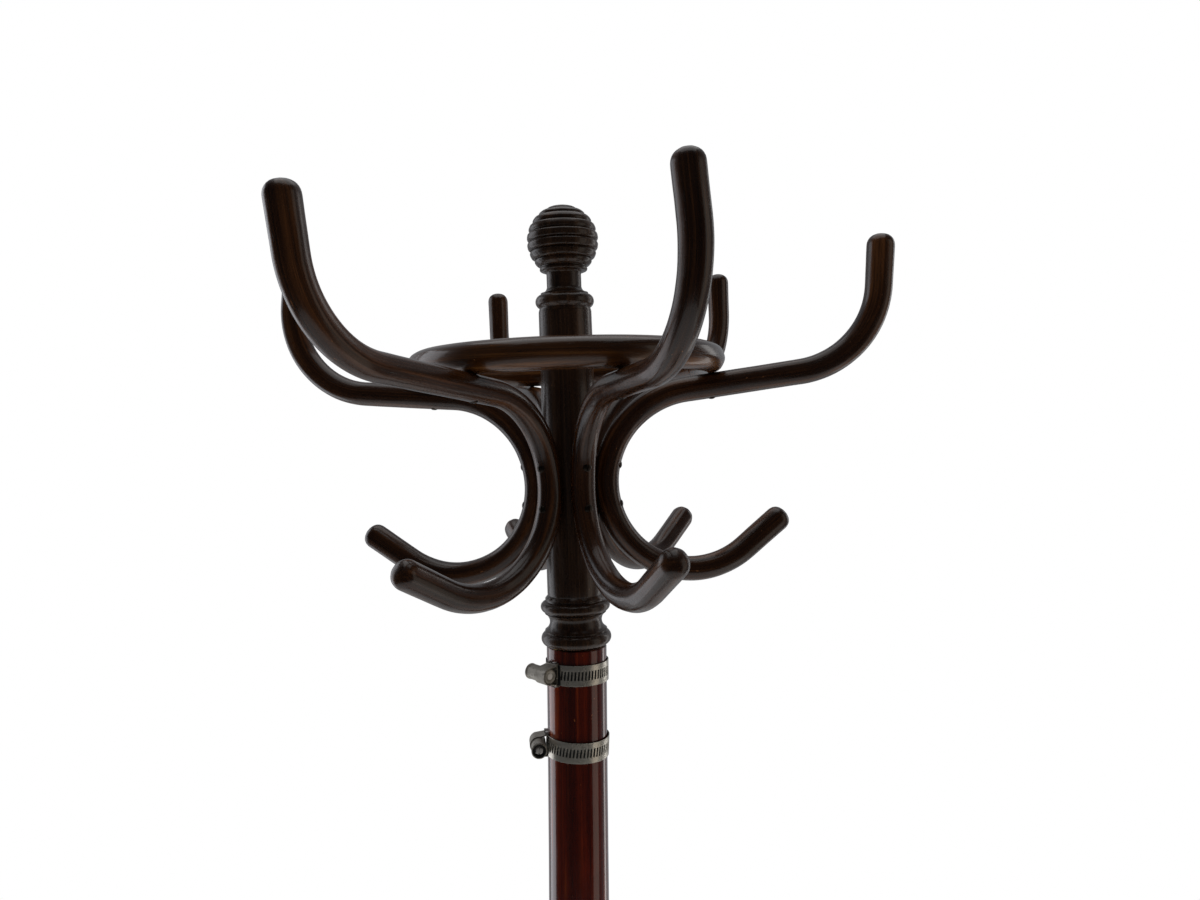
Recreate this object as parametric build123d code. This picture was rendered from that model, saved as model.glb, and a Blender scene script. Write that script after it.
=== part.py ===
from build123d import *
import os
from math import asin, cos, degrees, radians, sin, sqrt, tan

# Bentwood coat stand, in millimetres, +Z up. The origin is on the floor under the post, -Y is the front.
# The head (finial, turned column, six double hooks, hat ring) turns on a steel pin in the top of the post.
# An azimuth is an angle about the post, 0 at the front and growing towards +X.

# ---- heights ----
TOTAL_HEIGHT = 1850.0
HEAD_BASE_Z = 1487.0      # underside of the collar, where the head turns on the post
COLUMN_TOP_Z = 1762.5     # top of the turned column, under the finial
SEAT_Z = 1618.8           # level where the hook arms lie against the column
LEG_SEAT_Z = 310.0        # level where the legs lie against the post
POST_BOTTOM_Z = 225.0

# ---- post, column and swivel ----
POST_TOP_R = 25.0
POST_BOTTOM_R = 27.5
POST_STRAIGHT = 120.0     # length at the top of the post that is not tapered
POST_FOOT_TOP_Z = 420.0   # the post is straight below this too, where the legs lie
COLUMN_TOP_R = 21.8
COLUMN_FOOT_R = 23.0
COLLAR_R = 29.2
WASHER_R = 22.0
WASHER_THICK = 1.0
SEAT_GAP = 0.7            # room for the lean between the post and the washer
PIN_R = 6.0
PIN_IN_POST = 70.0
PIN_IN_HEAD = 54.0
BUSH_R = 9.0
BUSH_LENGTH = 50.0
RUNNING_GAP = 0.05        # radial clearance of what turns
PIN_BORE_GAP = 0.5        # radial room round the pin above its bush
HEAD_LEAN = 1.47          # degrees that the pin, and the head on it, lean to -X in the split post top

# ---- finial ----
BALL_R = 29.4
BALL_RINGS = 8            # turned ribs of the beehive ball
NECK_R = 14.3
TENON_R = 8.0             # round tenons of the finial and of the drop
TENON_LENGTH = 30.0

# ---- hook arms ----
ROD_R = 10.3
ARM_AXIS_R = 29.7         # distance of the rod's axis from the post's axis at the seat
SHOULDER_R = 76.7         # bend from the seat out to the upper hook
SHOULDER_TURN = 84.4
UPPER_REACH = 89.7        # straight between shoulder and upper hook
UPPER_HOOK_R = 72.6
UPPER_HOOK_TURN = 84.3
UPPER_TIP = 30.9
LOWER_HOOK_R = 75.1
LOWER_HOOK_TURN = 121.5
LOWER_TIP = 36.9
# Bent by hand, no two arms are quite alike. Each row is an arm: its azimuth, then in degrees and millimetres
# what it adds to the plain shape.
# azimuth, rise of shoulder, reach, curl of upper hook, swing of lower hook, lift of lower hook
ARMS = [
    (18.9, -1.2, -19.0, 10.7, 3.2, 2.2),
    (83.6, 1.1, 3.6, -5.1, 17.3, 5.5),
    (139.7, 2.9, 2.1, -2.1, 2.7, -0.9),
    (197.2, -0.1, 0.2, 0.1, 4.0, -7.9),
    (256.7, -0.8, -8.7, 9.3, -0.9, 1.8),
    (325.5, 1.8, 20.7, -9.3, -7.3, -2.7),
]
ARM_SCREW_SPACING = 33.0
ARM_SCREW_LENGTH = 34.0
SCREW_SINK = 0.6          # how far the rim of a screw in the underside of an arm lies in it

# ---- hat ring ----
HAT_RING_R = 118.0
HAT_RING_ROD_R = 11.7
RING_BITE = 1.0           # depth of the notch where a hoop sits on the highest rod under it
HAT_RING_SCREW_LENGTH = 32.0

# ---- hose clamps ----
BAND_BORE_R = 25.5
BAND_THICK = 0.8
BAND_WIDTH = 17.0
BAND_SLOT_PITCH = 2.9
BAND_SLOT = (1.3, 7.0)    # width and height of a slot
BAND_FIRST_SLOT = 6       # slots counted in pitches from the middle of the housing
BAND_LAST_SLOT = 46
BARREL_R = 6.2
BARREL_LENGTH = 26.0
BARREL_AXIS_R = 33.0      # distance of the worm's axis from the post's axis
BARREL_SHIFT = 7.0        # how far the barrel stands out of its saddle on the screw's side
SADDLE_LENGTH = 13.0
SADDLE_WIDTH = 19.4
SADDLE_LIP = 2.0          # how much the saddle wraps the band's edges
WORM_R = 3.6
MOUTH_R = 4.8
MOUTH_DEPTH = 5.0
# level, azimuth of the housing, tilt, azimuth it tilts down to, side the screw's head is on
CLAMPS = {
    "upper": (1465.2, -50.0, 1.5, 180.0, -1),
    "lower": (1402.7, -85.0, 2.5, 90.0, 1),
}

# ---- legs and lower hoops ----
LEG_ROD_R = 12.5
LEG_AXIS_R = 37.4
LEG_AZIMUTHS = (0.0, 90.0, 180.0, 270.0)
LEG_SHOULDER = (140.0, 72.0)   # bend radius and turn from the seat out to the umbrella ring
LEG_HEEL = (180.0, 66.0)       # bend radius and turn from the seat down to the foot
LEG_ABOVE_SEAT = 38.0
LEG_BELOW_SEAT = 35.0
LEG_STRETCH = 108.0            # straight stretch that runs down to the ankle
LEG_ANKLE = (62.0, -56.0)      # bend that lays the foot down
LEG_FOOT = 40.0
LEG_REACH = 45.0               # straight under the umbrella ring
LEG_CURL = (55.0, 42.0)        # bend that turns the upper end up
LEG_TIP = 6.0
LEG_SCREW_SPACING = 52.0
LEG_SCREW_LENGTH = 40.0
UMBRELLA_RING_R = 152.0
UMBRELLA_RING_ROD_R = 9.0
LOWER_HOOP_R = 188.0
LOWER_HOOP_ROD_R = 8.0
HOOP_SCREW_LENGTH = 34.0
GLIDE_R = 9.0
GLIDE_THICK = 3.0
DROP_BOTTOM_Z = 176.0


def save(node, *solids):
    """Write one node as a STEP file that holds its solids."""
    shape = solids[0] if len(solids) == 1 else Compound(children=list(solids))
    shape.label = node
    export_step(shape, f"parts/{node}.step")


def at_azimuth(shape, azimuth):
    """Turn a shape that was drawn along +X to stand at an azimuth."""
    return Rot(0, 0, azimuth - 90) * shape


def turned(start, *steps):
    """Solid turned about Z. A step is the next (radius, z), or with a second (radius, z) to arc through."""
    edges = []
    here = start
    for step in steps:
        end = step[:2]
        edges.append(ThreePointArc(here, step[2:], end) if len(step) == 4 else Line(here, end))
        here = end
    edges.append(Line(here, start))
    return revolve(make_face(Plane.XZ * Curve(edges)), Axis.Z)


def bent(start, heading, *moves):
    """Centre line of a bent rod in the XZ plane. A move is (length,), straight, or (radius, turn), a bend."""
    edges = []
    x, z = start
    for move in moves:
        tangent = (cos(radians(heading)), sin(radians(heading)))
        if len(move) == 1:
            edge = Line((x, z), (x + move[0] * tangent[0], z + move[0] * tangent[1]))
        else:
            edge = JernArc((x, z), tangent, move[0], move[1])
            heading += move[1]
        x, z = (edge @ 1).X, (edge @ 1).Y
        edges.append(Plane.XZ * edge)
    return edges


def rod(edges, radius):
    """Round rod along edges that join end to end, with ball ends."""
    path = Wire(edges)
    section = Plane(origin=path @ 0, z_dir=path % 0) * Circle(radius)
    body = sweep(section, path=path)
    for end in (0, 1):
        body += Pos(path @ end) * Sphere(radius)
    return body


def wood_screw(length, head_r=3.5, shank_r=2.0):
    """Slotted raised-head screw along -Z, with its rim at z = 0."""
    crown = 1.3
    sink = 2.6
    point = 5.0
    slot_width = 0.9
    slot_depth = 0.95
    solid = turned(
        (0, crown), (head_r, 0, head_r * 0.62, crown * 0.72), (shank_r, -sink),
        (shank_r, -length + point), (0, -length),
    )
    return solid - Pos(0, 0, crown) * Box(3 * head_r, slot_width, 2 * slot_depth)


# ---- head column, with its bead, cove and bead collar ----
def head_column():
    base = HEAD_BASE_Z
    solid = turned(
        (0, base), (26.9, base), (26.6, base + 10.0, COLLAR_R, base + 4.4),
        (25.8, base + 11.0), (25.8, base + 26.2, 21.8, base + 19.6), (26.4, base + 27.0),
        (26.2, base + 35.6, 28.9, base + 31.2), (24.0, base + 36.6), (23.8, base + 39.0),
        (COLUMN_FOOT_R, base + 40.0), (COLUMN_TOP_R, COLUMN_TOP_Z), (0, COLUMN_TOP_Z),
    )
    solid -= Pos(0, 0, base + BUSH_LENGTH / 2) * Cylinder(BUSH_R, BUSH_LENGTH)
    pin_bore = PIN_IN_HEAD + 4
    solid -= Pos(0, 0, base + pin_bore / 2) * Cylinder(PIN_R + PIN_BORE_GAP, pin_bore)
    return solid - Pos(0, 0, COLUMN_TOP_Z - TENON_LENGTH / 2) * Cylinder(TENON_R, TENON_LENGTH)


# ---- finial: ribbed ball, lip, neck and bead, with a tenon into the column ----
def finial():
    base = COLUMN_TOP_Z
    centre = TOTAL_HEIGHT - BALL_R
    lip_z = base + 36.0
    lowest = -degrees(asin((centre - lip_z) / BALL_R))
    rib = (90.0 - 12.0 - lowest) / BALL_RINGS

    def on_ball(angle, radius):
        return (radius * cos(radians(angle)), centre + radius * sin(radians(angle)))

    steps = [
        (TENON_R, base - TENON_LENGTH), (TENON_R, base), (COLUMN_TOP_R, base), (21.5, base + 3.3),
        (20.6, base + 14.0, 24.2, base + 8.2), (NECK_R, base + 21.4, 16.0, base + 16.8),
        (NECK_R, base + 30.0), (18.0, base + 33.4, 15.2, base + 32.8),
        (18.6, base + 37.2, 19.2, base + 35.4),
    ]
    for i in range(BALL_RINGS):
        low = lowest + i * rib
        steps.append((*on_ball(low + rib, BALL_R - 0.9), *on_ball(low + rib / 2, BALL_R)))
    steps.append((1.0, TOTAL_HEIGHT, *on_ball(84, BALL_R - 0.1)))
    steps.append((0, TOTAL_HEIGHT))
    return turned((0, base - TENON_LENGTH), *steps)


# ---- hook arms ----
def hook_arm(rise, reach, curl, swing, lift):
    """One S-shaped arm, drawn along +X with its seat at the column."""
    seat = (ARM_AXIS_R, SEAT_Z)
    upper = bent(
        seat, 90, (SHOULDER_R, rise - SHOULDER_TURN), (UPPER_REACH + reach,),
        (UPPER_HOOK_R, UPPER_HOOK_TURN + curl), (UPPER_TIP,),
    )
    lower = bent(seat, -90, (LOWER_HOOK_R, LOWER_HOOK_TURN + lift), (LOWER_TIP,))
    turn = Pos(ARM_AXIS_R, 0, 0) * Rot(0, 0, swing) * Pos(-ARM_AXIS_R, 0, 0)
    return rod(upper + [turn * edge for edge in lower], ROD_R)


def arm_level(rise, radius):
    """Level of an arm's axis out at a radius, on the straight beyond its shoulder."""
    turn = radians(SHOULDER_TURN - rise)
    shoulder_x = ARM_AXIS_R + SHOULDER_R * (1 - cos(turn))
    return SEAT_Z + SHOULDER_R * sin(turn) + (radius - shoulder_x) / tan(turn)


def hat_ring():
    """The hoop lies on the arms that rise the most."""
    rise = max(arm[1] for arm in ARMS)
    arm_top = arm_level(rise, HAT_RING_R) + ROD_R / sin(radians(SHOULDER_TURN - rise))
    return Pos(0, 0, arm_top + HAT_RING_ROD_R - RING_BITE) * Torus(HAT_RING_R, HAT_RING_ROD_R)


def radial_screw(azimuth, radius, z, length):
    """A screw that enters level, from outside, at an azimuth."""
    return at_azimuth(Pos(radius, 0, z) * Rot(0, 90, 0) * wood_screw(length), azimuth)


def rising_screw(azimuth, radius, z, length):
    """A screw that enters from below."""
    return at_azimuth(Pos(radius, 0, z) * Rot(180, 0, 0) * wood_screw(length), azimuth)


def seat_screws(azimuth, axis_r, seat_z, spacing, bend_r, straight, rod_r, length):
    """Two screws through a rod into the post, one above and one below the middle of its seat."""
    beyond = max(0.0, spacing / 2 - straight)
    sag = bend_r - sqrt(bend_r ** 2 - beyond ** 2)
    radius = axis_r + sag + rod_r - 0.2
    return [radial_screw(azimuth, radius, seat_z + side * spacing / 2, length) for side in (1, -1)]


# ---- hose clamps ----
def clamp_band():
    """Band once round the post, slotted for the worm from beside the housing on."""
    band_r = BAND_BORE_R + BAND_THICK
    band = Cylinder(band_r, BAND_WIDTH) - Cylinder(BAND_BORE_R, BAND_WIDTH)
    slot = Pos(0, -band_r, 0) * Box(BAND_SLOT[0], 3 * BAND_THICK, BAND_SLOT[1])
    pitch = degrees(BAND_SLOT_PITCH / band_r)
    for i in range(BAND_FIRST_SLOT, BAND_LAST_SLOT):
        band -= Rot(0, 0, i * pitch) * slot
    return band


def clamp_housing(screw_side):
    """Barrel for the worm and the saddle that holds it on the band."""
    band_r = BAND_BORE_R + BAND_THICK
    barrel_at = Pos(screw_side * BARREL_SHIFT, -BARREL_AXIS_R, 0) * Rot(0, 90 * screw_side, 0)
    saddle_depth = BARREL_AXIS_R - BAND_BORE_R
    saddle = Pos(0, -BAND_BORE_R - saddle_depth / 2, 0) * Box(SADDLE_LENGTH, saddle_depth, SADDLE_WIDTH)
    saddle += Pos(0, -BAND_BORE_R, 0) * Box(SADDLE_LENGTH, SADDLE_LIP, SADDLE_WIDTH)
    solid = saddle + barrel_at * Cylinder(BARREL_R, BARREL_LENGTH)
    solid -= Cylinder(band_r, BAND_WIDTH) + Cylinder(BAND_BORE_R, 2 * BAND_WIDTH)
    solid -= barrel_at * Cylinder(WORM_R, BARREL_LENGTH)
    mouth = Cylinder(MOUTH_R, MOUTH_DEPTH)
    return solid - barrel_at * Pos(0, 0, (BARREL_LENGTH - MOUTH_DEPTH) / 2) * mouth


def clamp_worm(screw_side):
    """Worm screw that turns in the barrel, with a slotted head in its mouth."""
    worm_r = WORM_R - RUNNING_GAP
    length = BARREL_LENGTH - 1
    slot_width = 1.1
    slot_depth = 1.0
    screw = Cylinder(worm_r, length)
    screw -= Pos(0, 0, length / 2) * Box(slot_width, 3 * worm_r, 2 * slot_depth)
    return Pos(screw_side * BARREL_SHIFT, -BARREL_AXIS_R, 0) * Rot(0, 90 * screw_side, 0) * screw


def clamp_place(z, azimuth, tilt, low_azimuth):
    """Where a clamp drawn about the origin goes: its level, its housing's azimuth, and its tilt."""
    tip = Rot(0, 0, low_azimuth) * Rot(tilt, 0, 0) * Rot(0, 0, -low_azimuth)
    return Pos(0, 0, z) * tip * Rot(0, 0, azimuth)


# ---- post, turned drop and swivel ----
def lean(shape):
    """Tip a piece of the head, or the pin it turns on, about the foot of the head."""
    return Pos(0, 0, HEAD_BASE_Z) * Rot(0, -HEAD_LEAN, 0) * Pos(0, 0, -HEAD_BASE_Z) * shape


def lower_post():
    top = HEAD_BASE_Z - WASHER_THICK - SEAT_GAP
    solid = turned(
        (0, POST_BOTTOM_Z), (POST_BOTTOM_R, POST_BOTTOM_Z), (POST_BOTTOM_R, POST_FOOT_TOP_Z),
        (POST_TOP_R, HEAD_BASE_Z - POST_STRAIGHT),
        (POST_TOP_R, top - 1), (POST_TOP_R - 1, top), (0, top),
    )
    return solid - Pos(0, 0, POST_BOTTOM_Z + TENON_LENGTH / 2) * Cylinder(TENON_R, TENON_LENGTH)


def post_drop():
    """Turned end of the post: bead, cove and pointed ball, with a tenon up into the post."""
    z = POST_BOTTOM_Z
    return turned(
        (0, DROP_BOTTOM_Z), (16.0, z - 32, 12.5, z - 44), (12.0, z - 17, 18.4, z - 23), (15.0, z - 14),
        (22.0, z - 11), (22.0, z - 10), (POST_BOTTOM_R, z, 28.5, z - 6), (TENON_R, z),
        (TENON_R, z + TENON_LENGTH), (0, z + TENON_LENGTH),
    )


def swivel_pin():
    low = HEAD_BASE_Z - PIN_IN_POST
    high = HEAD_BASE_Z + PIN_IN_HEAD
    return turned((0, low), (PIN_R, low), (PIN_R, high - 2), (PIN_R - 2, high), (0, high))


def swivel_bush():
    return Pos(0, 0, HEAD_BASE_Z + BUSH_LENGTH / 2) * (
        Cylinder(BUSH_R, BUSH_LENGTH) - Cylinder(PIN_R + RUNNING_GAP, BUSH_LENGTH)
    )


def swivel_washer():
    middle = HEAD_BASE_Z - RUNNING_GAP - WASHER_THICK / 2
    return Pos(0, 0, middle) * (Cylinder(WASHER_R, WASHER_THICK) - Cylinder(PIN_R, WASHER_THICK))


# ---- legs, umbrella ring and lower hoop ----
def leg():
    """One leg, drawn along +X: up and out to the umbrella ring, down and out to its foot."""
    seat = (LEG_AXIS_R, LEG_SEAT_Z)
    shoulder = (LEG_SHOULDER[0], -LEG_SHOULDER[1])
    upper = bent(seat, 90, (LEG_ABOVE_SEAT,), shoulder, (LEG_REACH,), LEG_CURL, (LEG_TIP,))
    lower = bent(seat, -90, (LEG_BELOW_SEAT,), LEG_HEEL, (LEG_STRETCH,), LEG_ANKLE, (LEG_FOOT,))
    below_foot = Pos(0, 0, GLIDE_THICK - TOTAL_HEIGHT / 2) * Box(TOTAL_HEIGHT, 100, TOTAL_HEIGHT)
    seat_length = POST_FOOT_TOP_Z - POST_BOTTOM_Z
    seat_cut = Pos(0, 0, LEG_SEAT_Z) * Rot(0, 0, 90) * Cylinder(POST_BOTTOM_R, seat_length)
    return rod(upper + lower, LEG_ROD_R) - below_foot - seat_cut


def leg_level_above(radius):
    """Level of a leg's axis at a radius on the bend that ends under the umbrella ring, or just beyond it."""
    bend_r, turn = LEG_SHOULDER
    start = LEG_SEAT_Z + LEG_ABOVE_SEAT
    end_x = LEG_AXIS_R + bend_r * (1 - cos(radians(turn)))
    return start + bend_r * sin(radians(turn)) + (radius - end_x) / tan(radians(turn))


def leg_level_below(radius):
    """Level of a leg's axis at a radius on the straight stretch above its ankle."""
    bend_r, turn = LEG_HEEL
    start = LEG_SEAT_Z - LEG_BELOW_SEAT
    end_x = LEG_AXIS_R + bend_r * (1 - cos(radians(turn)))
    return start - bend_r * sin(radians(turn)) - (radius - end_x) / tan(radians(turn))


def hoop(radius, rod_r, level, slope):
    """A hoop that lies on the legs, let in by the bite. slope is the angle of the legs under it."""
    z = level + LEG_ROD_R / cos(radians(slope)) + rod_r - RING_BITE
    return Pos(0, 0, z) * at_azimuth(Torus(radius, rod_r), LEG_AZIMUTHS[0] + 45)


def glide(leg_solid):
    """Flat steel glide under a leg's foot."""
    foot = leg_solid.faces().sort_by(Axis.Z)[0].center()
    middle = GLIDE_THICK / 2
    disc = Pos(foot.X, foot.Y, middle) * Cylinder(GLIDE_R, GLIDE_THICK)
    return chamfer(disc.edges().group_by(Axis.Z)[0], 0.8)


def main():
    os.makedirs("parts", exist_ok=True)

    # The head: column, arms, ring and finial. Arms and column are bored for their screws; the hoops, here and
    # on the legs, are bitten into by theirs.
    between_arms = (ARMS[0][0] + ARMS[1][0]) / 2
    column = at_azimuth(head_column(), between_arms)
    ring = at_azimuth(hat_ring(), between_arms)
    arms = [at_azimuth(hook_arm(*shape), azimuth) - column - ring for azimuth, *shape in ARMS]
    arm_screws = []
    ring_screws = []
    for azimuth, rise, *_ in ARMS:
        arm_screws += seat_screws(
            azimuth, ARM_AXIS_R, SEAT_Z, ARM_SCREW_SPACING, SHOULDER_R, 0.0, ROD_R, ARM_SCREW_LENGTH,
        )
        under = arm_level(rise, HAT_RING_R) - ROD_R / sin(radians(SHOULDER_TURN - rise)) + SCREW_SINK
        ring_screws.append(rising_screw(azimuth, HAT_RING_R, under, HAT_RING_SCREW_LENGTH))
    for i, arm in enumerate(arms):
        for screw in arm_screws[2 * i:2 * i + 2] + [ring_screws[i]]:
            arm -= screw
        save(f"hook_arm_{i + 1}", lean(arm))
    for screw in arm_screws:
        column -= screw
    save("head_column", lean(column))
    save("hat_ring", lean(ring))
    save("arm_screws", *[lean(screw) for screw in arm_screws])
    save("ring_screws", *[lean(screw) for screw in ring_screws])
    save("finial", lean(finial()))
    save("swivel_bush", lean(swivel_bush()))
    save("swivel_pin", lean(swivel_pin()))
    save("swivel_washer", lean(swivel_washer()))

    # The stand: post, drop, legs, hoops and their screws.
    post = at_azimuth(lower_post(), LEG_AZIMUTHS[0] + 45) - lean(swivel_pin())
    umbrella_ring = hoop(
        UMBRELLA_RING_R, UMBRELLA_RING_ROD_R, leg_level_above(UMBRELLA_RING_R), 90 - LEG_SHOULDER[1],
    )
    lower_hoop = hoop(LOWER_HOOP_R, LOWER_HOOP_ROD_R, leg_level_below(LOWER_HOOP_R), 90 - LEG_HEEL[1])
    plain_leg = leg()
    leg_screws = []
    hoop_screws = []
    glides = []
    for i, azimuth in enumerate(LEG_AZIMUTHS):
        solid = at_azimuth(plain_leg, azimuth) - umbrella_ring - lower_hoop
        into_post = seat_screws(
            azimuth, LEG_AXIS_R, LEG_SEAT_Z, LEG_SCREW_SPACING, LEG_SHOULDER[0], LEG_BELOW_SEAT,
            LEG_ROD_R, LEG_SCREW_LENGTH,
        )
        into_ring = rising_screw(
            azimuth, UMBRELLA_RING_R, leg_level_above(UMBRELLA_RING_R) - LEG_ROD_R, HOOP_SCREW_LENGTH,
        )
        into_hoop = rising_screw(
            azimuth, LOWER_HOOP_R, leg_level_below(LOWER_HOOP_R) - LEG_ROD_R, HOOP_SCREW_LENGTH,
        )
        for screw in (*into_post, into_ring, into_hoop):
            solid -= screw
        leg_screws += into_post
        hoop_screws += [into_ring, into_hoop]
        glides.append(glide(solid))
        save(f"leg_{i + 1}", solid)
    for screw in leg_screws:
        post -= screw
    save("lower_post", post)
    save("post_drop", post_drop())
    save("umbrella_ring", umbrella_ring)
    save("lower_hoop", lower_hoop)
    save("leg_screws", *leg_screws)
    save("hoop_screws", *hoop_screws)
    save("glides", *glides)

    # The two hose clamps that bind the split top of the post.
    for name, (z, azimuth, tilt, low_azimuth, screw_side) in CLAMPS.items():
        place = clamp_place(z, azimuth, tilt, low_azimuth)
        save(f"clamp_band_{name}", place * clamp_band())
        save(f"clamp_housing_{name}", place * clamp_housing(screw_side))
        save(f"clamp_screw_{name}", place * clamp_worm(screw_side))


main()
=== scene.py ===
import bpy
from math import asin, ceil, cos, degrees, pi, radians, sin, sqrt, tan
import numpy as np
from mathutils import Matrix, Vector, noise


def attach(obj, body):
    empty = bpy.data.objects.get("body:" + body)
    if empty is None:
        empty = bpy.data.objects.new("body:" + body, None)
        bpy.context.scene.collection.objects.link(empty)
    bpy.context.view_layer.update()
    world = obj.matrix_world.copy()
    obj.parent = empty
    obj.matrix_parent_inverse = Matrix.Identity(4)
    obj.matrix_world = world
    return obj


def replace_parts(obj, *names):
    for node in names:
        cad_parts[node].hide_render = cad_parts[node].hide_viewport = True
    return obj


# Looks of the bentwood coat stand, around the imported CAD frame. Dimensions repeat those of the CAD source,
# in millimetres, and are turned into metres where a mesh is made. +Z is up and -Y is the front. An azimuth is
# an angle about the post, 0 at the front and growing towards +X.

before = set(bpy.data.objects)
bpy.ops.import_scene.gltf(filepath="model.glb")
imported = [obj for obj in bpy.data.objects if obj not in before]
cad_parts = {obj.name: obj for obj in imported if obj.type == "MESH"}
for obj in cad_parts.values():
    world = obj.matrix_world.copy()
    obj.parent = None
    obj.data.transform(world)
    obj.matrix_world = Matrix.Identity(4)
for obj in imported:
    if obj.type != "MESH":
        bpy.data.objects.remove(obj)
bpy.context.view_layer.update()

MM = 0.001

# ---- dimensions ----
TOTAL_HEIGHT = 1850.0
HEAD_BASE_Z = 1487.0
COLUMN_TOP_Z = 1762.5
SEAT_Z = 1618.8
POST_TOP_Z = 1485.3
POST_BOTTOM_Z = 225.0
POST_TOP_R = 25.0
POST_BOTTOM_R = 27.5
POST_STRAIGHT = 120.0
POST_FOOT_TOP_Z = 420.0
COLUMN_TOP_R = 21.8
COLLAR_R = 29.2
HEAD_LEAN = 1.47
BALL_R = 29.4
BALL_RINGS = 8
NECK_R = 14.3

ROD_R = 10.3
ARM_SEAT_R = 10.05        # the rods swell a little from their seats
ARM_TIP_R = 10.85         # to their tips, over the last SWELL
SWELL = 150.0
ARM_AXIS_R = 29.7
SHOULDER_R = 76.7
SHOULDER_TURN = 84.4
UPPER_REACH = 89.7
UPPER_HOOK_R = 72.6
UPPER_HOOK_TURN = 84.3
UPPER_TIP = 30.9
LOWER_HOOK_R = 75.1
LOWER_HOOK_TURN = 121.5
LOWER_TIP = 36.9
# azimuth, rise of shoulder, reach, curl of upper hook, swing of lower hook, lift of lower hook
ARMS = [
    (18.9, -1.2, -19.0, 10.7, 3.2, 2.2),
    (83.6, 1.1, 3.6, -5.1, 17.3, 5.5),
    (139.7, 2.9, 2.1, -2.1, 2.7, -0.9),
    (197.2, -0.1, 0.2, 0.1, 4.0, -7.9),
    (256.7, -0.8, -8.7, 9.3, -0.9, 1.8),
    (325.5, 1.8, 20.7, -9.3, -7.3, -2.7),
]
HAT_RING_R = 118.0
HAT_RING_ROD_R = 11.7
RING_BITE = 1.0

LEG_SEAT_Z = 310.0
LEG_ROD_R = 12.5
LEG_AXIS_R = 37.4
LEG_AZIMUTHS = (0.0, 90.0, 180.0, 270.0)
LEG_SHOULDER = (140.0, 72.0)
LEG_HEEL = (180.0, 66.0)
LEG_ABOVE_SEAT = 38.0
LEG_BELOW_SEAT = 35.0
LEG_STRETCH = 108.0
UMBRELLA_RING_R = 152.0
UMBRELLA_RING_ROD_R = 9.0
LOWER_HOOP_R = 188.0
LOWER_HOOP_ROD_R = 8.0
GLIDE_THICK = 3.0

BAND_BORE_R = 25.5
BAND_WIDTH = 17.0
SLOT_PITCH = 2.9
BARREL_R = 6.2
BARREL_LENGTH = 26.0
BARREL_AXIS_R = 33.0
BARREL_SHIFT = 7.0
SADDLE_LENGTH = 13.0
SADDLE_WIDTH = 19.4
WORM_R = 3.6
MOUTH_R = 4.8
MOUTH_DEPTH = 5.0
UNDER_BAND_THICK = 0.45
LAP_INNER_R = BAND_BORE_R + 0.5
LAP_OUTER_R = BAND_BORE_R + 1.05
LAP_BEFORE = 3            # slot pitches of lapped band before the middle of the housing
LAP_AFTER = 46            # and after it
SLOT_HALF_LENGTH = 3.7
SLOT_SIDES = (0.24, 0.76)  # where a slot begins and ends within its pitch
SLOT_SLANT = 0.09
SHADOW_GAP = (14.2, 19.6)  # degrees from the middle of the housing to the strip of painted shadow beside it
BARREL_AROUND = 56        # points round the barrel
SEAT_Y = -BAND_BORE_R - 1.3  # where the saddle rests on the band
SADDLE_THICK = 1.0
TAB_X = 3.4               # the tabs stand this far to either side of the saddle's middle
# level, azimuth of the housing, tilt, azimuth it tilts down to, side the screw's head is on
CLAMPS = {
    "upper": (1465.2, -50.0, 1.5, 180.0, -1),
    "lower": (1402.7, -85.0, 2.5, 90.0, 1),
}


# ---- mesh tools ----
def ring_noise(seed, along, angle, length, around=1.0):
    """Smooth noise from -1 to 1 that closes on itself round a rod or a turned piece."""
    point = Vector((around * cos(angle) + 7.3 * seed, around * sin(angle) - 3.1 * seed, along / length))
    return noise.noise(point)


def make_piece(name, points, faces, body, material, grain=None, sharp=40.0):
    """A mesh object from points in millimetres, riding on a body."""
    mesh = bpy.data.meshes.new(name)
    mesh.from_pydata((np.asarray(points, float) * MM).tolist(), [], faces)
    mesh.validate()
    if grain is not None:
        attribute = mesh.attributes.new("grain", "FLOAT_VECTOR", "POINT")
        attribute.data.foreach_set("vector", (np.asarray(grain, float) * MM).astype(np.float32).ravel())
    mesh.shade_smooth()
    mesh.set_sharp_from_angle(angle=radians(sharp))
    mesh.materials.append(material)
    piece = bpy.data.objects.new(name, mesh)
    bpy.context.scene.collection.objects.link(piece)
    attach(piece, body)
    return piece


def skin(rings):
    """Faces over rings of points, with a fan over each end. rings is an array (ring, point, 3)."""
    count, around = rings.shape[:2]
    faces = []
    for i in range(count - 1):
        for j in range(around):
            k = (j + 1) % around
            faces.append((i * around + j, i * around + k, (i + 1) * around + k, (i + 1) * around + j))
    points = list(rings.reshape(-1, 3))
    first = len(points)
    points += [rings[0].mean(0), rings[-1].mean(0)]
    last = (count - 1) * around
    for j in range(around):
        k = (j + 1) % around
        faces.append((first, k, j))
        faces.append((first + 1, last + j, last + k))
    return np.array(points), faces


def with_ends(values):
    """Per-ring, per-point values with those of the two fan centres added."""
    flat = values.reshape(-1, values.shape[-1])
    return np.vstack([flat, values[0].mean(0), values[-1].mean(0)])


def lean(points):
    """Tip the head's points about the foot of the head, as the CAD does."""
    angle = radians(HEAD_LEAN)
    x, y, z = points[..., 0], points[..., 1], points[..., 2] - HEAD_BASE_Z
    return np.stack([x * cos(angle) - z * sin(angle), y, x * sin(angle) + z * cos(angle) + HEAD_BASE_Z], -1)


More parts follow.
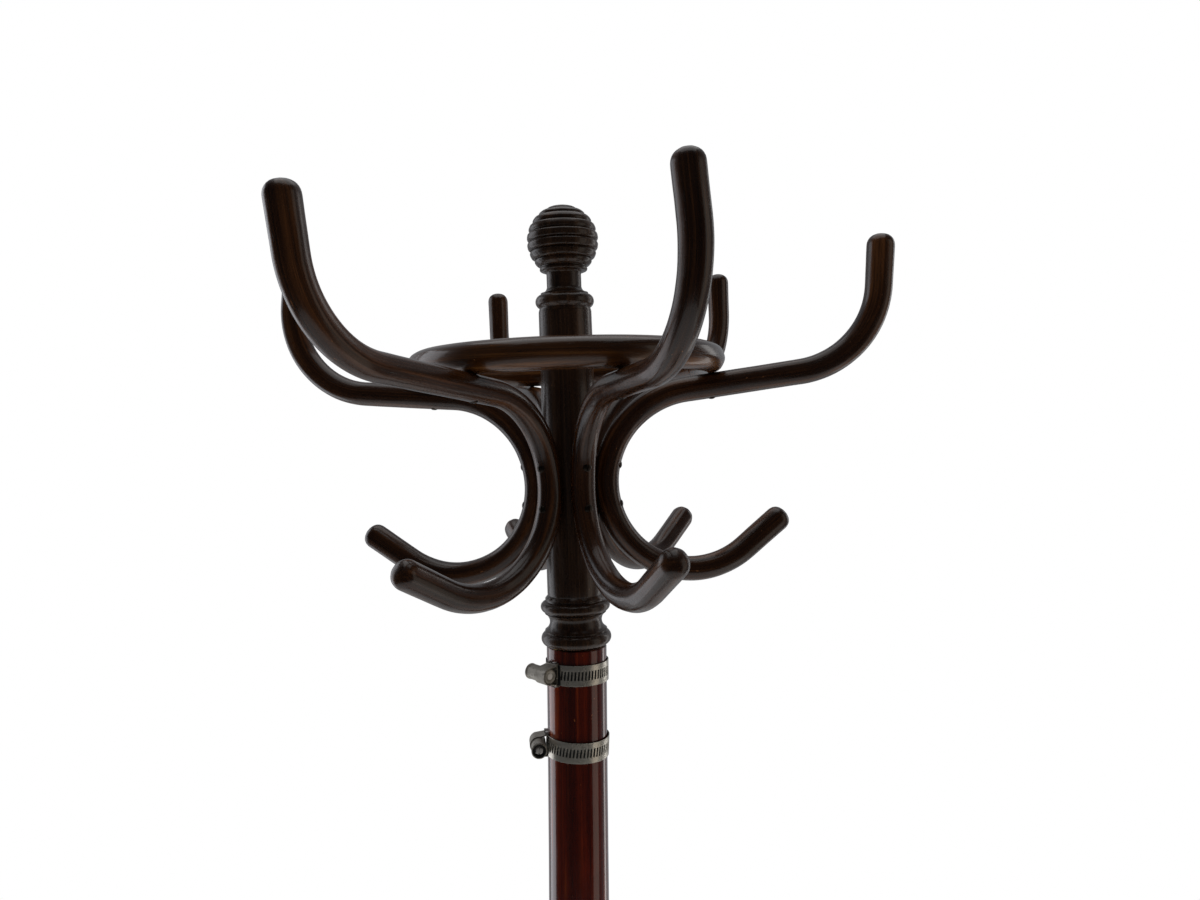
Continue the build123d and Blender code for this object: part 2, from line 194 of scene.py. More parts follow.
def bent(start, heading, *moves, step=2.6):
    """Points (x, z, heading) along a bent rod. A move is (length,), straight, or (radius, turn), a bend."""
    x, z = start
    angle = radians(heading)
    line = [(x, z, angle)]
    for move in moves:
        if len(move) == 1:
            count = max(2, ceil(move[0] / step))
            for i in range(1, count + 1):
                far = move[0] * i / count
                line.append((x + far * cos(angle), z + far * sin(angle), angle))
        else:
            radius, turn = move[0], radians(move[1])
            side = 1 if turn > 0 else -1
            centre = (x - side * radius * sin(angle), z + side * radius * cos(angle))
            count = max(2, ceil(abs(turn) * radius / step))
            for i in range(1, count + 1):
                a = angle + turn * i / count
                line.append((centre[0] + side * radius * sin(a), centre[1] - side * radius * cos(a), a))
            angle += turn
        x, z = line[-1][:2]
    return line


def rod_rings(centres, tangents, sides, radius, seed, tip_radius=None, around=44, facets=0.011, oval=0.012,
              lumps=0.02, blunt=2.3):
    """Rings and grain coordinates of a bent rod with blunt domed ends. It has the soft flats of a spokeshave
    along it, and is nowhere quite round."""
    centres, tangents, sides = (np.array(v, float) for v in (centres, tangents, sides))
    dome = np.sin(np.linspace(0, pi / 2, 10))[1:]
    tip_radius = tip_radius or radius
    before = [centres[0] - tangents[0] * radius * d for d in dome[::-1]]
    after = [centres[-1] + tangents[-1] * radius * d for d in dome]
    shrink = [(1 - min(d, 0.9995) ** blunt) ** (1 / blunt) for d in dome]
    scale = np.array(shrink[::-1] + [1.0] * len(centres) + shrink)
    centres = np.array(before + list(centres) + after)
    tangents = np.array([tangents[0]] * len(dome) + list(tangents) + [tangents[-1]] * len(dome))
    sides = np.array([sides[0]] * len(dome) + list(sides) + [sides[-1]] * len(dome))
    normals = np.cross(sides, tangents)
    along = np.concatenate([[0], np.cumsum(np.linalg.norm(np.diff(centres, axis=0), axis=1))])
    angles = np.linspace(0, 2 * pi, around, endpoint=False)
    rings = np.zeros((len(centres), around, 3))
    grain = np.zeros_like(rings)
    for i, s in enumerate(along):
        drift = 0.5 * noise.noise(Vector((s / 160, 3.7 * seed, 0)))
        thickness = tip_radius + (radius - tip_radius) * min(1.0, s / SWELL, (along[-1] - s) / SWELL)
        for j, a in enumerate(angles):
            r = 1 + facets * cos(8 * a + 4 * drift) + oval * cos(2 * a + drift)
            r += lumps * ring_noise(seed, s, a, 38, 0.8) + 0.35 * lumps * ring_noise(seed + 5, s, a, 13, 1.7)
            r *= thickness * scale[i]
            rings[i, j] = centres[i] + r * (cos(a) * normals[i] + sin(a) * sides[i])
            grain[i, j] = (r * cos(a) + 31 * seed, r * sin(a) - 17 * seed, s)
    return rings, grain


def rod_piece(name, rings, grain, body, material):
    points, faces = skin(rings)
    return make_piece(name, points, faces, body, material, with_ends(grain), sharp=70)


def planar_rod(line, azimuth_of, axis_r):
    """Centres, tangents and sides of a rod that lies in an upright plane through the post. azimuth_of gives
    each point's azimuth, and the rod's own azimuth for None. A point with another azimuth is swung about the
    upright line that stands at axis_r."""
    centres, tangents, sides = [], [], []
    home = radians(azimuth_of(None))
    foot = np.array([axis_r * sin(home), -axis_r * cos(home), 0.0])
    for i, (x, z, heading) in enumerate(line):
        a = radians(azimuth_of(i))
        out = np.array([sin(a), -cos(a), 0.0])
        centres.append(foot + (x - axis_r) * out + np.array([0, 0, z]))
        tangents.append(cos(heading) * out + np.array([0, 0, sin(heading)]))
        sides.append(np.array([cos(a), sin(a), 0.0]))
    return centres, tangents, sides


def hoop_rings(radius, z, rod_r, seed, scarf_azimuth, around=40):
    """A rod bent to a full hoop, its two ends meeting in a fine joint."""
    count = ceil(2 * pi * radius / 3.2)
    start = radians(scarf_azimuth)
    turn = np.linspace(0, 2 * pi, count)
    angles = np.linspace(0, 2 * pi, around, endpoint=False)
    rings = np.zeros((count, around, 3))
    grain = np.zeros_like(rings)
    for i, t in enumerate(turn):
        s = t * radius
        fade = min(1.0, t / 0.2, (2 * pi - t) / 0.2)
        joint = 0.985 if i in (0, count - 1) else 1.0
        for j, a in enumerate(angles):
            r = 1 + fade * 0.012 * cos(8 * a + 0.6) + fade * 0.016 * ring_noise(seed, s, a, 45, 0.8)
            r *= rod_r * joint
            b = start + t + 0.09 * cos(a)
            flat = radius + r * cos(a)
            rings[i, j] = (flat * sin(b), -flat * cos(b), z + r * sin(a))
            grain[i, j] = (r * cos(a) + 31 * seed, r * sin(a) - 17 * seed, s)
    return rings, grain


def lathe(profile, seed, around=144, wobble=0.0012):
    """Rings and grain coordinates of a turned piece. profile is (radius, z) from the bottom up."""
    angles = np.linspace(0, 2 * pi, around, endpoint=False)
    rings = np.zeros((len(profile), around, 3))
    for i, (radius, z) in enumerate(profile):
        for j, a in enumerate(angles):
            r = radius * (1 + wobble * ring_noise(seed, z, a, 60, 1.2))
            rings[i, j] = (r * cos(a), r * sin(a), z)
    grain = rings + np.array([31.0 * seed, -17.0 * seed, 0])
    return rings, grain


def arc(start, through, end, count=10):
    """Points of an arc from start to end, start left out."""
    (ax, ay), (bx, by), (cx, cy) = start, through, end
    d = 2 * (ax * (by - cy) + bx * (cy - ay) + cx * (ay - by))
    a2, b2, c2 = ax * ax + ay * ay, bx * bx + by * by, cx * cx + cy * cy
    ux = (a2 * (by - cy) + b2 * (cy - ay) + c2 * (ay - by)) / d
    uy = (a2 * (cx - bx) + b2 * (ax - cx) + c2 * (bx - ax)) / d
    radius = sqrt((ax - ux) ** 2 + (ay - uy) ** 2)
    first = np.arctan2(ay - uy, ax - ux)
    middle = np.arctan2(by - uy, bx - ux)
    last = np.arctan2(cy - uy, cx - ux)
    turn = (last - first) % (2 * pi)
    if (middle - first) % (2 * pi) > turn:
        turn -= 2 * pi
    return [(ux + radius * cos(first + turn * i / count), uy + radius * sin(first + turn * i / count))
            for i in range(1, count + 1)]


def profile_of(start, *steps, longest=9.0):
    """Profile points. A step is (radius, z), or (radius, z, radius, z) with a point to arc through."""
    points = [start]
    for step in steps:
        here = points[-1]
        if len(step) == 4:
            points += arc(here, step[2:], step[:2])
        else:
            far = sqrt((step[0] - here[0]) ** 2 + (step[1] - here[1]) ** 2)
            count = max(1, ceil(far / longest))
            points += [(here[0] + (step[0] - here[0]) * i / count, here[1] + (step[1] - here[1]) * i / count)
                       for i in range(1, count + 1)]
    return points


# ---- materials ----
class Shader:
    """A material built from nodes, with the short forms this scene uses."""

    def __init__(self, name):
        self.material = bpy.data.materials.new(name)
        self.material.use_nodes = True
        self.tree = self.material.node_tree
        self.tree.nodes.clear()
        self.surface = self.add("ShaderNodeBsdfPrincipled")
        output = self.add("ShaderNodeOutputMaterial")
        self.tree.links.new(self.surface.outputs["BSDF"], output.inputs["Surface"])

    def add(self, kind, inputs=None, **settings):
        node = self.tree.nodes.new(kind)
        for key, value in settings.items():
            setattr(node, key, value)
        for key, value in (inputs or {}).items():
            self.set(node, key, value)
        return node

    def set(self, node, key, value):
        if isinstance(value, bpy.types.NodeSocket):
            self.tree.links.new(value, node.inputs[key])
        else:
            node.inputs[key].default_value = value

    def shade(self, **values):
        for key, value in values.items():
            self.set(self.surface, key.replace("_", " "), value)

    def stretched(self, vector, scale):
        return self.add("ShaderNodeMapping", {"Vector": vector, "Scale": scale}).outputs["Vector"]

    def noise(self, vector, scale=1.0, detail=4.0, roughness=0.55, distortion=0.0):
        node = self.add("ShaderNodeTexNoise", {
            "Vector": vector, "Scale": scale, "Detail": detail, "Roughness": roughness,
            "Distortion": distortion,
        })
        return node.outputs["Fac"]

    def ramp(self, value, *stops):
        """Colours or grey levels between positions."""
        node = self.add("ShaderNodeValToRGB", {"Fac": value})
        elements = node.color_ramp.elements
        while len(elements) < len(stops):
            elements.new(0.5)
        for element, (position, colour) in zip(elements, stops):
            element.position = position
            element.color = (colour, colour, colour, 1) if isinstance(colour, float) else (*colour, 1)
        return node.outputs["Color"]

    def mix(self, factor, a, b, blend="MIX"):
        node = self.add("ShaderNodeMix", data_type="RGBA", blend_type=blend)
        self.set(node, 0, factor)
        self.set(node, 6, a if isinstance(a, bpy.types.NodeSocket) else (*a, 1))
        self.set(node, 7, b if isinstance(b, bpy.types.NodeSocket) else (*b, 1))
        return node.outputs[2]

    def math(self, operation, a, b=0.0):
        return self.add("ShaderNodeMath", {0: a, 1: b}, operation=operation).outputs[0]

    def spread(self, value, low, high, out_low, out_high):
        node = self.add("ShaderNodeMapRange", {
            "Value": value, "From Min": low, "From Max": high, "To Min": out_low, "To Max": out_high,
        })
        return node.outputs[0]

    def bump(self, *heights):
        """Normal from (height, distance in metres) pairs, one on the other."""
        normal = None
        for height, distance in heights:
            node = self.add("ShaderNodeBump", {"Height": height, "Strength": 1.0, "Distance": distance})
            if normal is not None:
                self.set(node, "Normal", normal)
            normal = node.outputs["Normal"]
        return normal


def varnished_wood(name, dark, middle, light, gloss, dull, coat, streak=0.5, wear=0.5, relief=0.6):
    """Stained wood under old varnish. The grain runs along Z of the grain coordinates; gloss and dull are the
    roughness of the cleanest and the most handled varnish."""
    s = Shader(name)
    grain = s.add("ShaderNodeAttribute", attribute_name="grain").outputs["Vector"]
    place = s.add("ShaderNodeTexCoord").outputs["Object"]
    fibres = s.noise(s.stretched(grain, (620, 620, 7)), detail=5, roughness=0.62, distortion=0.25)
    figure = s.noise(s.stretched(grain, (130, 130, 4)), detail=3, roughness=0.5, distortion=0.6)
    pores = s.noise(s.stretched(grain, (2300, 2300, 70)), detail=2)
    patches = s.noise(place, scale=14, detail=3)
    scuffs = s.noise(s.stretched(grain, (90, 90, 40)), detail=6, roughness=0.7)
    nicks = s.noise(s.stretched(grain, (420, 420, 190)), detail=2, roughness=0.4)

    base = s.ramp(fibres, (0.3, dark), (0.52, middle), (0.74, light))
    lines = s.ramp(figure, (0.36, dark), (0.56, middle), (0.68, light))
    colour = s.mix(streak, base, lines)
    colour = s.mix(s.spread(patches, 0.35, 0.7, 0.0, 0.65), colour, dark)
    pore_mask = s.spread(pores, 0.60, 0.72, 0.0, 0.8)
    colour = s.mix(pore_mask, colour, tuple(0.25 * c for c in dark))
    worn = s.spread(nicks, 0.76, 0.80, 0.0, wear)
    colour = s.mix(worn, colour, tuple(min(1.0, 2.2 * c + 0.03) for c in light))
    s.shade(Base_Color=colour, Roughness=s.spread(scuffs, 0.3, 0.75, gloss, dull), IOR=1.45)
    s.shade(Coat_Weight=coat, Coat_Roughness=0.5 * gloss, Coat_IOR=1.5)
    s.shade(Normal=s.bump(
        (fibres, 0.00007 * relief), (scuffs, 0.00010 * relief), (pore_mask, -0.00005 * relief),
        (worn, -0.00008 * relief),
    ))
    return s.material


def worked_metal(name, colour, shadow, gloss, dull, brush, dirt=0.35, relief=0.00006, metallic=1.0):
    """Bare metal with brush marks, tarnish and grime. brush is the scale of the marks along X, Y and Z."""
    s = Shader(name)
    place = s.add("ShaderNodeTexCoord").outputs["Object"]
    marks = s.noise(s.stretched(place, brush), detail=3, roughness=0.6)
    tarnish = s.noise(place, scale=130, detail=5, roughness=0.65)
    grime = s.noise(place, scale=420, detail=3)
    base = s.mix(s.spread(tarnish, 0.35, 0.7, 0.0, 0.8), colour, shadow)
    base = s.mix(s.spread(marks, 0.4, 0.7, 0.0, 0.35), base, tuple(min(1.0, 1.25 * c) for c in colour))
    grime_mask = s.spread(grime, 0.58, 0.72, 0.0, dirt)
    base = s.mix(grime_mask, base, (0.03, 0.022, 0.016))
    rough = s.math("ADD", s.spread(tarnish, 0.3, 0.75, gloss, dull), s.math("MULTIPLY", grime_mask, 0.4))
    s.shade(Base_Color=base, Metallic=metallic, Roughness=rough)
    s.shade(Normal=s.bump((marks, relief), (tarnish, 1.5 * relief)))
    return s.material


ARM_WOOD = varnished_wood(
    "arm_wood", (0.016, 0.0048, 0.0013), (0.078, 0.026, 0.0075), (0.30, 0.112, 0.034),
    gloss=0.17, dull=0.36, coat=0.2, streak=0.6,
)
RING_WOOD = varnished_wood(
    "ring_wood", (0.031, 0.0098, 0.002), (0.137, 0.047, 0.011), (0.46, 0.185, 0.048),
    gloss=0.17, dull=0.32, coat=0.3, streak=0.75,
)
TURNED_WOOD = varnished_wood(
    "turned_wood", (0.020, 0.0085, 0.004), (0.066, 0.031, 0.0145), (0.20, 0.095, 0.043),
    gloss=0.2, dull=0.38, coat=0.2, streak=0.4,
)
POST_WOOD = varnished_wood(
    "post_wood", (0.062, 0.0036, 0.0006), (0.24, 0.019, 0.002), (0.72, 0.125, 0.018),
    gloss=0.08, dull=0.18, coat=0.9, streak=0.8, relief=0.25,
)
LEG_WOOD = varnished_wood(
    "leg_wood", (0.016, 0.0050, 0.0014), (0.075, 0.025, 0.0075), (0.28, 0.105, 0.032),
    gloss=0.18, dull=0.38, coat=0.2,
)
BAND_STEEL = worked_metal(
    "band_steel", (0.80, 0.76, 0.67), (0.58, 0.53, 0.44),
    gloss=0.18, dull=0.32, brush=(160, 160, 5200), dirt=0.06, metallic=0.7,
)
# Near black with some grime: painted shade for the band seen through the slots, the strip beside the housing,
# the recesses round the tabs and the barrel's mouth.
SHADE_AND_GRIME = worked_metal(
    "shade_and_grime", (0.010, 0.009, 0.008), (0.005, 0.0045, 0.004),
    gloss=0.75, dull=0.9, brush=(900, 900, 900), dirt=0.5, metallic=0.0,
)
HOUSING_ZINC = worked_metal(
    "housing_zinc", (0.42, 0.39, 0.335), (0.23, 0.21, 0.175),
    gloss=0.36, dull=0.58, brush=(700, 700, 900), dirt=0.6, relief=0.00010, metallic=0.55,
)
CLAMP_SCREW_STEEL = worked_metal(
    "clamp_screw_steel", (0.85, 0.81, 0.77), (0.6, 0.56, 0.52),
    gloss=0.25, dull=0.42, brush=(1500, 1500, 1500), dirt=0.2, metallic=0.3,
)
DARK_SCREW_STEEL = worked_metal(
    "dark_screw_steel", (0.05, 0.04, 0.033), (0.015, 0.011, 0.009),
    gloss=0.32, dull=0.5, brush=(1500, 1500, 1500), dirt=0.6,
)
BRASS = worked_metal(
    "brass", (0.72, 0.50, 0.20), (0.38, 0.23, 0.09), gloss=0.25, dull=0.45, brush=(200, 200, 3000), dirt=0.5,
)
PIN_STEEL = worked_metal(
    "pin_steel", (0.5, 0.49, 0.47), (0.22, 0.2, 0.18), gloss=0.22, dull=0.4, brush=(200, 200, 2500), dirt=0.4,
)
GLIDE_STEEL = worked_metal(
    "glide_steel", (0.45, 0.44, 0.42), (0.2, 0.17, 0.14),
    gloss=0.3, dull=0.5, brush=(900, 900, 900), dirt=0.6,
)


# ---- head: hook arms ----
def hook_arm(index, azimuth, rise, reach, curl, swing, lift):
    """One arm: from the lower hook's tip, up over its seat on the column, to the upper hook's tip."""
    seat = (ARM_AXIS_R, SEAT_Z)
    upper = bent(
        seat, 90, (SHOULDER_R, rise - SHOULDER_TURN), (UPPER_REACH + reach,),
        (UPPER_HOOK_R, UPPER_HOOK_TURN + curl), (UPPER_TIP,),
    )
    lower = bent(seat, -90, (LOWER_HOOK_R, LOWER_HOOK_TURN + lift), (LOWER_TIP,))
    line = [(x, z, heading + pi) for x, z, heading in lower[::-1]] + upper[1:]
    ease = 10

    def azimuth_of(i):
        if i is None:
            return azimuth
        return azimuth + swing * min(1.0, max(0.0, (len(lower) - 1 - i) / ease))

    way = planar_rod(line, azimuth_of, ARM_AXIS_R)
    rings, grain = rod_rings(*way, ARM_SEAT_R, seed=index, tip_radius=ARM_TIP_R)
    piece = rod_piece(f"arm_{index}", lean(rings), grain, "head", ARM_WOOD)
    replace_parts(piece, f"hook_arm_{index}")


def arm_level(rise, radius):
    """Level of an arm's axis out at a radius, on the straight beyond its shoulder."""
    turn = radians(SHOULDER_TURN - rise)
    shoulder_x = ARM_AXIS_R + SHOULDER_R * (1 - cos(turn))
    return SEAT_Z + SHOULDER_R * sin(turn) + (radius - shoulder_x) / tan(turn)


for number, shape in enumerate(ARMS, 1):
    hook_arm(number, *shape)

# ---- head: hat ring ----
highest = max(arm[1] for arm in ARMS)
top_of_arm = arm_level(highest, HAT_RING_R) + ROD_R / sin(radians(SHOULDER_TURN - highest))
ring_z = top_of_arm + HAT_RING_ROD_R - RING_BITE
ring_points, ring_grain = hoop_rings(HAT_RING_R, ring_z, HAT_RING_ROD_R, seed=11, scarf_azimuth=110)
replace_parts(rod_piece("hat_hoop", lean(ring_points), ring_grain, "head", RING_WOOD), "hat_ring")


# ---- head: column and finial ----
def turned_piece(name, profile, body, material, node, seed, leaning=False, wobble=0.0012):
    rings, grain = lathe(profile, seed, wobble=wobble)
    points, faces = skin(lean(rings) if leaning else rings)
    piece = make_piece(name, points, faces, body, material, with_ends(grain), sharp=50)
    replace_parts(piece, node)
    return piece


base = HEAD_BASE_Z
column_profile = profile_of(
    (9.2, base), (26.3, base), (26.6, base + 10.0, COLLAR_R, base + 4.9), (25.5, base + 10.5),
    (25.5, base + 11.6), (25.9, base + 12.0), (25.6, base + 26.0, 21.7, base + 19.4), (25.0, base + 26.4),
    (25.0, base + 27.3), (26.4, base + 27.6), (26.2, base + 35.6, 28.9, base + 31.2), (24.3, base + 36.3),
    (24.1, base + 37.6), (24.9, base + 38.6, 24.9, base + 38.0), (23.4, base + 40.4), (22.6, base + 41.3),
    (22.9, base + 42.2), (COLUMN_TOP_R, COLUMN_TOP_Z), (8.2, COLUMN_TOP_Z),
)
turned_piece("column", column_profile, "head", TURNED_WOOD, "head_column", 21, leaning=True)


def finial_profile():
    """Bead, neck, lip and the ribbed ball, with a groove cut deep between its ribs."""
    foot = COLUMN_TOP_Z
    centre = TOTAL_HEIGHT - BALL_R
    lip = foot + 36.0
    lowest = -degrees(asin((centre - lip) / BALL_R))
    rib = (78.0 - lowest) / BALL_RINGS
    points = profile_of(
        (8.0, foot - 2), (8.0, foot), (21.4, foot), (21.7, foot + 0.6), (21.0, foot + 3.0),
        (21.4, foot + 3.4), (20.4, foot + 14.0, 24.2, foot + 8.6), (19.6, foot + 14.6), (19.6, foot + 15.4),
        (NECK_R, foot + 21.8, 15.6, foot + 17.4), (NECK_R, foot + 29.6),
        (17.9, foot + 33.2, 15.2, foot + 32.4), (18.7, foot + 36.6, 19.7, foot + 35.2),
    )
    for i in range(BALL_RINGS):
        for j in range(1, 15):
            share = j / 14
            angle = radians(lowest + (i + share) * rib)
            r = BALL_R - 2.0 * (1 - sin(pi * share)) ** 2
            points.append((r * cos(angle), centre + r * sin(angle)))
    for j in range(1, 9):
        angle = radians(78 + 12 * j / 8)
        r = BALL_R - 2.0 * (1 - sin(pi / 2 * min(1.0, j / 3))) ** 2
        points.append((max(0.3, r * cos(angle)), centre + r * sin(angle)))
    return points


turned_piece("ball_finial", finial_profile(), "head", TURNED_WOOD, "finial", 23, leaning=True)

# ---- stand: post and drop ----
post_profile = profile_of(
    (6.5, POST_BOTTOM_Z), (POST_BOTTOM_R - 0.6, POST_BOTTOM_Z), (POST_BOTTOM_R, POST_BOTTOM_Z + 0.8),
    (POST_BOTTOM_R, POST_FOOT_TOP_Z), (POST_TOP_R, HEAD_BASE_Z - POST_STRAIGHT),
    (POST_TOP_R, POST_TOP_Z - 1.2), (POST_TOP_R - 1.2, POST_TOP_Z, POST_TOP_R - 0.3, POST_TOP_Z - 0.3),
    (6.1, POST_TOP_Z), longest=5.0,
)
turned_piece("post", post_profile, "stand", POST_WOOD, "lower_post", 31, wobble=0.004)

foot = POST_BOTTOM_Z
drop_profile = profile_of(
    (0.3, foot - 49.0), (16.0, foot - 32, 12.5, foot - 44), (12.0, foot - 17, 18.4, foot - 23),
    (11.6, foot - 16.2), (15.0, foot - 14), (15.2, foot - 13.2), (21.6, foot - 11.2), (22.0, foot - 10.6),
    (22.0, foot - 10), (POST_BOTTOM_R - 0.4, foot, 28.5, foot - 6), (8.0, foot),
)
turned_piece("drop", drop_profile, "stand", POST_WOOD, "post_drop", 33)


# ---- stand: legs and hoops ----
def leg(index, azimuth):
    """One leg, from its foot up over the seat on the post to its tip above the umbrella ring."""
    seat = (LEG_AXIS_R, LEG_SEAT_Z)
    upper = bent(
        seat, 90, (LEG_ABOVE_SEAT,), (LEG_SHOULDER[0], -LEG_SHOULDER[1]), (45,), (55, 42), (6,), step=4,
    )
    lower = bent(seat, -90, (LEG_BELOW_SEAT,), LEG_HEEL, (LEG_STRETCH,), (62, -56), (40,), step=4)
    line = [(x, z, heading + pi) for x, z, heading in lower[::-1]] + upper[1:]
    way = planar_rod(line, lambda i: azimuth, LEG_AXIS_R)
    rings, grain = rod_rings(*way, LEG_ROD_R, seed=40 + index, around=40)
    rings[..., 2] = np.maximum(rings[..., 2], GLIDE_THICK)
    piece = rod_piece(f"bent_leg_{index}", rings, grain, "stand", LEG_WOOD)
    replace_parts(piece, f"leg_{index}")


for number, azimuth in enumerate(LEG_AZIMUTHS, 1):
    leg(number, azimuth)


def hoop_level(level, slope, rod_r):
    """Level of a hoop that lies on the legs, let in by the bite."""
    return level + LEG_ROD_R / cos(radians(slope)) + rod_r - RING_BITE


def leg_level_above(radius):
    bend_r, turn = LEG_SHOULDER
    end_x = LEG_AXIS_R + bend_r * (1 - cos(radians(turn)))
    start = LEG_SEAT_Z + LEG_ABOVE_SEAT
    return start + bend_r * sin(radians(turn)) + (radius - end_x) / tan(radians(turn))


def leg_level_below(radius):
    bend_r, turn = LEG_HEEL
    end_x = LEG_AXIS_R + bend_r * (1 - cos(radians(turn)))
    start = LEG_SEAT_Z - LEG_BELOW_SEAT
    return start - bend_r * sin(radians(turn)) - (radius - end_x) / tan(radians(turn))


umbrella_z = hoop_level(leg_level_above(UMBRELLA_RING_R), 90 - LEG_SHOULDER[1], UMBRELLA_RING_ROD_R)
lower_z = hoop_level(leg_level_below(LOWER_HOOP_R), 90 - LEG_HEEL[1], LOWER_HOOP_ROD_R)
for name, node, radius, level, rod_r, seed in (
    ("umbrella_hoop", "umbrella_ring", UMBRELLA_RING_R, umbrella_z, UMBRELLA_RING_ROD_R, 51),
    ("foot_hoop", "lower_hoop", LOWER_HOOP_R, lower_z, LOWER_HOOP_ROD_R, 53),
):
    rings, grain = hoop_rings(radius, level, rod_r, seed, scarf_azimuth=130)
    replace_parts(rod_piece(name, rings, grain, "stand", LEG_WOOD), node)


# ---- hose clamps ----
def clamp_matrix(z, azimuth, tilt, low_azimuth):
    """Where a clamp drawn about the origin goes, as a rotation and a height."""
    def about_z(angle):
        return Matrix.Rotation(radians(angle), 3, "Z")
    tip = about_z(low_azimuth) @ Matrix.Rotation(radians(tilt), 3, "X") @ about_z(-low_azimuth)
    return np.array(tip @ about_z(azimuth)), np.array([0, 0, z])


def placed(points, place):
    turn, lift = place
    return np.asarray(points, float) @ turn.T + lift


def bevel(piece, width, segments=2, angle=35):
    modifier = piece.modifiers.new("soft_edges", "BEVEL")
    modifier.width = width * MM
    modifier.segments = segments
    modifier.limit_method = "ANGLE"
    modifier.angle_limit = radians(angle)
    modifier.harden_normals = False


def strap(inner_r, outer_r, angles_deg, levels, slotted, slant=0.0):
    """Points and faces of a bent strap. Its middle row is open in the columns that slotted picks out."""
    angles = np.radians(angles_deg)
    rows = len(levels)
    points = []
    for radius in (outer_r, inner_r):
        for a in angles:
            for z in levels:
                shifted = a + slant * z / radius
                points.append((radius * sin(shifted), -radius * cos(shifted), z))
    columns = len(angles)

    def at(layer, column, row):
        return layer * columns * rows + column * rows + row

    faces = []
    for c in range(columns - 1):
        for r in range(rows - 1):
            corners = ((c, r), (c + 1, r), (c + 1, r + 1), (c, r + 1))
            if slotted(c) and r == rows // 2 - 1:
                for (c0, r0), (c1, r1) in zip(corners, corners[1:] + corners[:1]):
                    faces.append((at(0, c0, r0), at(0, c1, r1), at(1, c1, r1), at(1, c0, r0)))
            else:
                faces.append(tuple(at(0, *corner) for corner in corners))
                faces.append(tuple(at(1, *corner) for corner in corners[::-1]))
    for c in range(columns - 1):
        faces.append((at(0, c + 1, 0), at(0, c, 0), at(1, c, 0), at(1, c + 1, 0)))
        faces.append((at(0, c, rows - 1), at(0, c + 1, rows - 1), at(1, c + 1, rows - 1), at(1, c, rows - 1)))
    for r in range(rows - 1):
        faces.append((at(0, 0, r), at(0, 0, r + 1), at(1, 0, r + 1), at(1, 0, r)))
        end = columns - 1
        faces.append((at(0, end, r + 1), at(0, end, r), at(1, end, r), at(1, end, r + 1)))
    return np.array(points), faces


def no_slots(column):
    return False


def is_slot(column):
    """Each pitch has three columns, the middle one a slot, but the first pitches are plain."""
    return column % 3 == 1 and column > 3 * LAP_BEFORE


def clamp_band(name, place):
    """The band lies once round the post. Its slotted end runs through the housing and laps over it."""
    half = BAND_WIDTH / 2
    under_levels = (-half, -half + 0.5, half - 0.5, half)
    under_r = BAND_BORE_R + UNDER_BAND_THICK
    # The band beneath the lap is near black: painted shade where it shows through the slots.
    under = strap(BAND_BORE_R, under_r, np.linspace(-176, 176, 121), under_levels, no_slots)
    # A dark strip over the lap beside the housing: painted shadow.
    shadow_strip_levels = (0.3 - half, 0, half - 0.3)
    shadow_strip = strap(LAP_OUTER_R - 0.2, LAP_OUTER_R + 0.05, np.linspace(*SHADOW_GAP, 6), shadow_strip_levels, no_slots)
    points, faces = join(under, shadow_strip)
    under_points = placed(points, place)
    make_piece(f"band_under_{name}", under_points, faces, "stand", SHADE_AND_GRIME)

    pitch = degrees(SLOT_PITCH / LAP_OUTER_R)
    columns = []
    for i in range(-LAP_BEFORE, LAP_AFTER):
        columns += [i * pitch] + [(i + side) * pitch for side in SLOT_SIDES]
    columns.append(LAP_AFTER * pitch)
    lap_levels = (-half + 0.15, -SLOT_HALF_LENGTH, SLOT_HALF_LENGTH, half - 0.15)
    points, faces = strap(LAP_INNER_R, LAP_OUTER_R, columns, lap_levels, is_slot, slant=SLOT_SLANT)
    over_points = placed(points, place)
    over = make_piece(f"band_over_{name}", over_points, faces, "stand", BAND_STEEL)
    bevel(over, 0.12)
    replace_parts(over, f"clamp_band_{name}")


def prism(outline, x0, x1):
    """Points and faces of an outline in YZ, drawn out along X."""
    count = len(outline)
    points = [(x0, y, z) for y, z in outline] + [(x1, y, z) for y, z in outline]
    faces = [tuple(range(count))[::-1], tuple(range(count, 2 * count))]
    for i in range(count):
        j = (i + 1) % count
        faces.append((i, j, count + j, count + i))
    return np.array(points), faces


def join(*parts):
    """Several (points, faces) as one."""
    points, faces = [], []
    for part_points, part_faces in parts:
        start = len(points)
        points += list(part_points)
        faces += [tuple(start + i for i in face) for face in part_faces]
    return np.array(points), faces


def about_barrel(rings, screw_side):
    """Turn a piece drawn about Z to lie along the barrel, its +Z end on the screw's side."""
    x, y, z = rings[..., 0], rings[..., 1], rings[..., 2]
    return np.stack([screw_side * (z + BARREL_SHIFT), -BARREL_AXIS_R + y, screw_side * -x], -1)


def box(x0, x1, y0, y1, z0, z1):
    return prism([(y0, z0), (y1, z0), (y1, z1), (y0, z1)], x0, x1)


def barrel_points(screw_side):
    """The barrel, with a rounded closed end and a lip round its mouth."""
    half = BARREL_LENGTH / 2
    rings = lathe(profile_of(
        (2.6, -half + 0.6), (4.6, -half, 3.9, -half + 0.1),
        (BARREL_R, -half + 1.7, BARREL_R - 0.5, -half + 0.5), (BARREL_R, half - 1.6),
        (BARREL_R + 0.25, half - 1.2), (BARREL_R + 0.25, half - 0.4), (BARREL_R - 0.3, half),
        (MOUTH_R + 0.3, half), (MOUTH_R, half - 0.4), (MOUTH_R, half - MOUTH_DEPTH),
        (WORM_R, half - MOUTH_DEPTH), (WORM_R, half - MOUTH_DEPTH - 1), longest=3.0,
    ), seed=61, around=BARREL_AROUND)[0]
    return skin(about_barrel(rings, screw_side))


